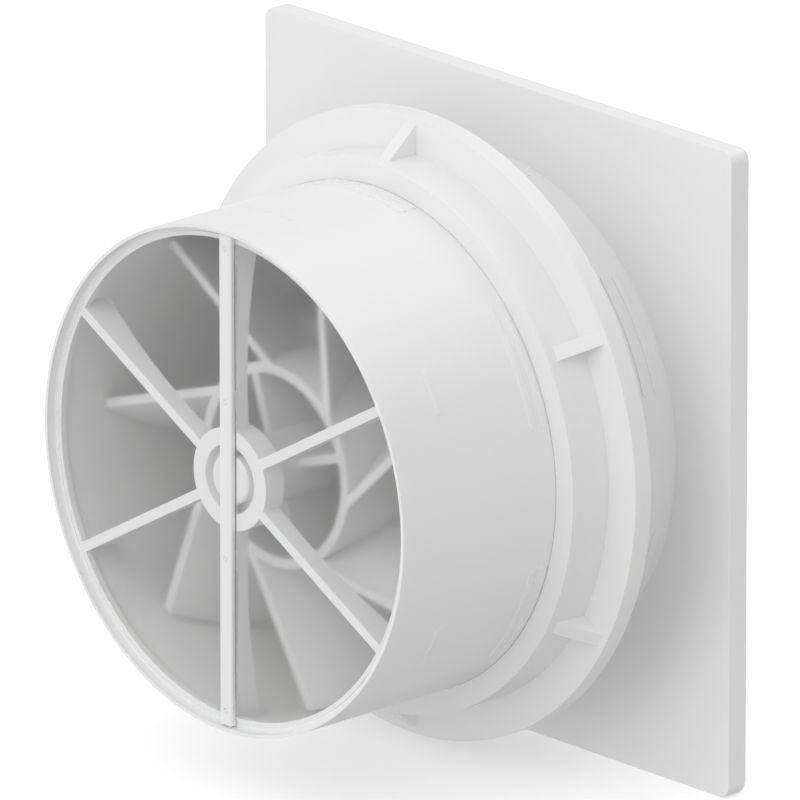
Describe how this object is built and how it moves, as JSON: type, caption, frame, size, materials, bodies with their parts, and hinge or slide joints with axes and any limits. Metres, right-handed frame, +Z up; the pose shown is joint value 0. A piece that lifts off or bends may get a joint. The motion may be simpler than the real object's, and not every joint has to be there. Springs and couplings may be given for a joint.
{
  "type": "bathroom extractor fan",
  "caption": "Axial bathroom extractor fan: square front panel with a louvred grille, round duct spigot with a clamping ring, and a butterfly back-draught damper.",
  "frame": {"origin": "on the fan axis, where the duct spigot meets the mounting ring's stop face", "axes": "+Y along the fan axis towards the duct outlet, -Y towards the room, +Z up, +X to the right when looking from the room along +Y"},
  "size_m": [0.16, 0.095, 0.16],
  "materials": {
    "casing_white": "satin moulded ABS, white",
    "panel_white": "satin moulded ABS, white",
    "wheel_white": "satin moulded plastic, white",
    "damper_film": "frosted translucent film",
    "spring_steel": "bright spring steel",
    "shaft_steel": "ground steel",
    "rotor_metal": "cast cage on laminations",
    "lamination_steel": "stacked sheet steel",
    "copper_bar": "bare copper",
    "copper_wire": "enamelled copper wire",
    "bobbin_nylon": "black nylon",
    "zinc_casting": "die cast zinc",
    "sintered_bronze": "oil soaked sintered bronze",
    "rubber_grey": "soft grey rubber",
    "zinc_plate": "zinc plated steel",
    "terminal_grey": "light grey polyamide",
    "brass_screw": "plated brass",
    "lead_brown": "brown wire insulation",
    "lead_blue": "blue wire insulation"
  },
  "bodies": {
    "casing": {"housing_tube": "casing_white", "mounting_ring": "casing_white", "front_panel": "panel_white", "intake_grille": "panel_white", "damper_bar": "casing_white", "damper_strip": "damper_film", "damper_pins": "casing_white", "hub_plug": "casing_white", "stator_stack": "lamination_steel", "shading_rings": "copper_bar", "coil_bobbin": "bobbin_nylon", "coil_winding": "copper_wire", "bearing_bridge_rear": "zinc_casting", "bearing_bridge_front": "zinc_casting", "bearing_rear": "sintered_bronze", "bearing_front": "sintered_bronze", "motor_carrier": "casing_white", "isolators": "rubber_grey", "motor_screws": "zinc_plate", "motor_nuts": "zinc_plate", "panel_screws": "zinc_plate", "terminal_block": "terminal_grey", "terminal_screws": "brass_screw", "cable_clamp": "casing_white", "clamp_screws": "zinc_plate", "cable_grommet": "rubber_grey", "lead_live": "lead_brown", "lead_neutral": "lead_blue"},
    "rotor": {"impeller": "wheel_white", "shaft_clip": "spring_steel", "motor_shaft": "shaft_steel", "rotor_core": "rotor_metal", "thrust_washers": "bobbin_nylon"},
    "flap_left": {"damper_flap_left": "damper_film"},
    "flap_right": {"damper_flap_right": "damper_film"}
  },
  "joints": [
    {"name": "fan_spin", "type": "hinge", "parent": "casing", "child": "rotor", "pos_m": [0, 0, 0], "axis": [0, 1, 0], "continuous": true},
    {"name": "flap_left_hinge", "type": "hinge", "parent": "casing", "child": "flap_left", "pos_m": [0.00225, 0.0468, 0], "axis": [0, 0, 1], "range_deg": [0, 75], "stiffness_Nm_per_rad": 0.003},
    {"name": "flap_right_hinge", "type": "hinge", "parent": "casing", "child": "flap_right", "pos_m": [-0.00225, 0.0468, 0], "axis": [0, 0, -1], "range_deg": [0, 75], "stiffness_Nm_per_rad": 0.003}
  ]
}
